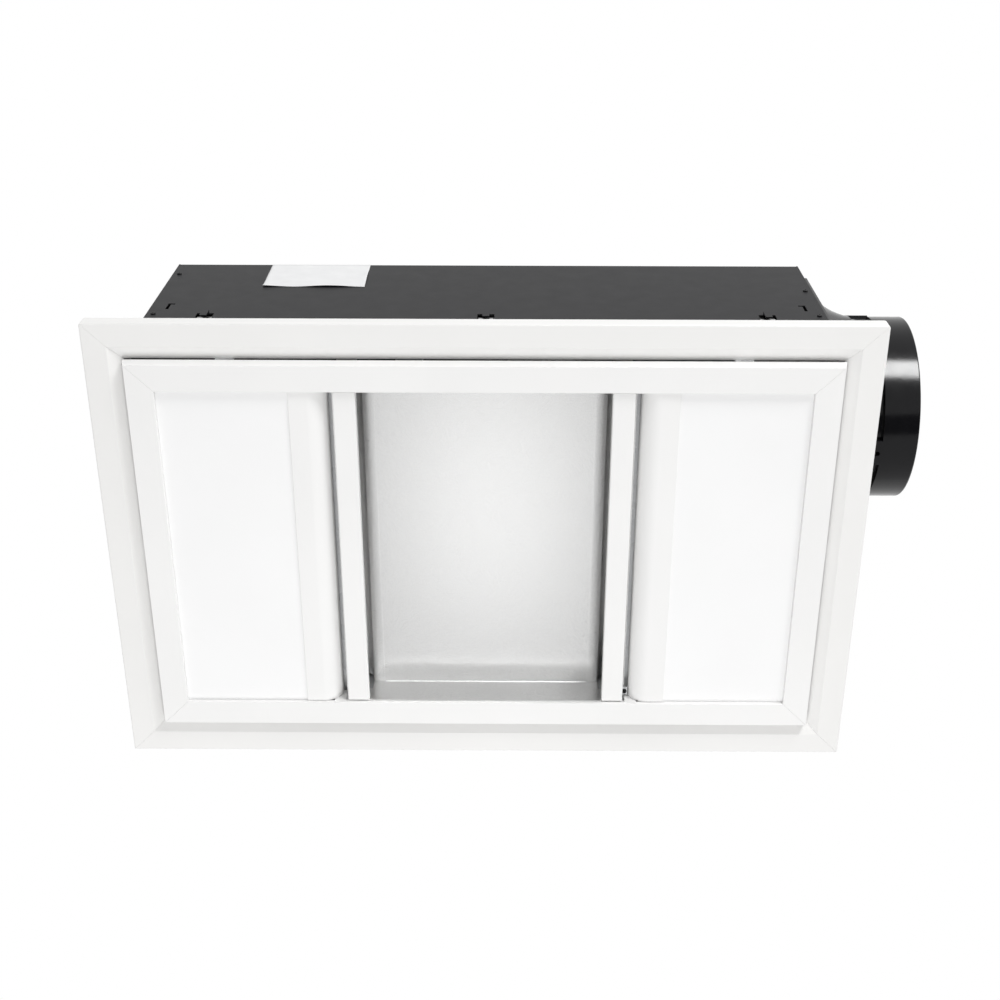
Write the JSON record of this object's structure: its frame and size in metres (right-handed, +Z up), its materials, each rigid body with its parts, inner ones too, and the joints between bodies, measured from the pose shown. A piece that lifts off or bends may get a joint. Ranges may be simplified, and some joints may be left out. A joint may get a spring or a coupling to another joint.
{
  "type": "bathroom ceiling heater fan light",
  "caption": "Ceiling unit that heats, lights and extracts: white trim and light panels around a reflector heater, charcoal housing with blower, and a round duct collar on one end.",
  "frame": {"origin": "centre of the trim frame's back face, in the plane of the ceiling's underside", "axes": "+Z up into the roof space, so the fascia faces -Z; +X along the housing towards the duct collar; +Y across the housing, away from the side the collar sits nearest"},
  "size_m": [0.644, 0.384, 0.2351],
  "materials": {
    "trim_white": "satin",
    "panel_white": "satin",
    "plain_aluminium": "mill",
    "opal_diffuser": "opal",
    "light_guide": "clear",
    "led_board": "matte",
    "zinc_sheet": "zinc coated",
    "spring_steel": "bright",
    "housing_charcoal": "satin powder coat",
    "screw_steel": "blackened",
    "bright_steel": "bright",
    "bare_label": "satin film",
    "reflector": "satin bright",
    "bar_white": "satin",
    "quartz": "clear",
    "element_wire": "dull",
    "ceramic_white": "matte",
    "cutout_brown": "matte",
    "scroll_grey": "moulded",
    "impeller_black": "moulded",
    "motor_grey": "satin",
    "black_rubber": "matte",
    "duct_black": "gloss",
    "flap_grey": "moulded",
    "terminal_white": "gloss",
    "gland_black": "moulded",
    "driver_white": "moulded",
    "capacitor_black": "gloss",
    "loom_sleeve": "sleeved"
  },
  "bodies": {
    "housing": {"housing_shell": "housing_charcoal", "housing_end_left": "housing_charcoal", "housing_end_right": "housing_charcoal", "steel_screws": "screw_steel", "rating_label": "bare_label", "reflector_pan": "reflector", "reflector_trough_left": "reflector", "reflector_trough_right": "reflector", "heat_box": "zinc_sheet", "glare_bar_left": "bar_white", "glare_bar_right": "bar_white", "bar_brackets": "zinc_sheet", "heat_tube_left": "quartz", "heat_tube_right": "quartz", "heating_elements": "element_wire", "tube_end_caps": "ceramic_white", "heater_hangers": "zinc_sheet", "thermal_cutout": "cutout_brown", "scroll_base": "scroll_grey", "scroll_band": "scroll_grey", "scroll_cover": "scroll_grey", "fan_motor": "motor_grey", "fan_grommets": "black_rubber", "fan_hanger_posts": "bright_steel", "duct_adaptor": "duct_black", "duct_spigot": "duct_black", "damper_pin": "bright_steel", "wiring_box": "zinc_sheet", "wiring_cover": "zinc_sheet", "terminal_block": "terminal_white", "cable_gland": "gland_black", "led_driver": "driver_white", "fan_capacitor": "capacitor_black", "wiring_loom": "loom_sleeve"},
    "fascia": {"trim_rail_near": "trim_white", "trim_rail_far": "trim_white", "trim_rail_left": "trim_white", "trim_rail_right": "trim_white", "trim_corner_keys": "plain_aluminium", "panel_rail_near": "panel_white", "panel_rail_far": "panel_white", "panel_rail_left": "panel_white", "panel_rail_right": "panel_white", "panel_corner_keys": "plain_aluminium", "led_diffuser_left": "opal_diffuser", "led_diffuser_right": "opal_diffuser", "led_light_guide_left": "light_guide", "led_light_guide_right": "light_guide", "led_strip_left": "led_board", "led_strip_right": "led_board", "led_tray_left": "zinc_sheet", "led_tray_right": "zinc_sheet", "round_profile_left": "panel_white", "round_profile_right": "panel_white", "panel_brackets": "zinc_sheet", "fascia_clips": "spring_steel", "fascia_rivets": "plain_aluminium"},
    "fan": {"impeller": "impeller_black", "motor_shaft": "bright_steel"},
    "flap": {"damper_flap": "flap_grey"}
  },
  "joints": [
    {"name": "fascia_drop", "type": "slide", "parent": "housing", "child": "fascia", "axis": [0, 0, -1], "range_m": [0, 0.045]},
    {"name": "fan_spin", "type": "hinge", "parent": "housing", "child": "fan", "pos_m": [0.108, 0.008, 0.102], "axis": [0, 0, 1], "continuous": true},
    {"name": "flap_swing", "type": "hinge", "parent": "housing", "child": "flap", "pos_m": [0.3138, -0.08, 0.132], "axis": [0, -1, 0], "range_deg": [0, 70]}
  ]
}
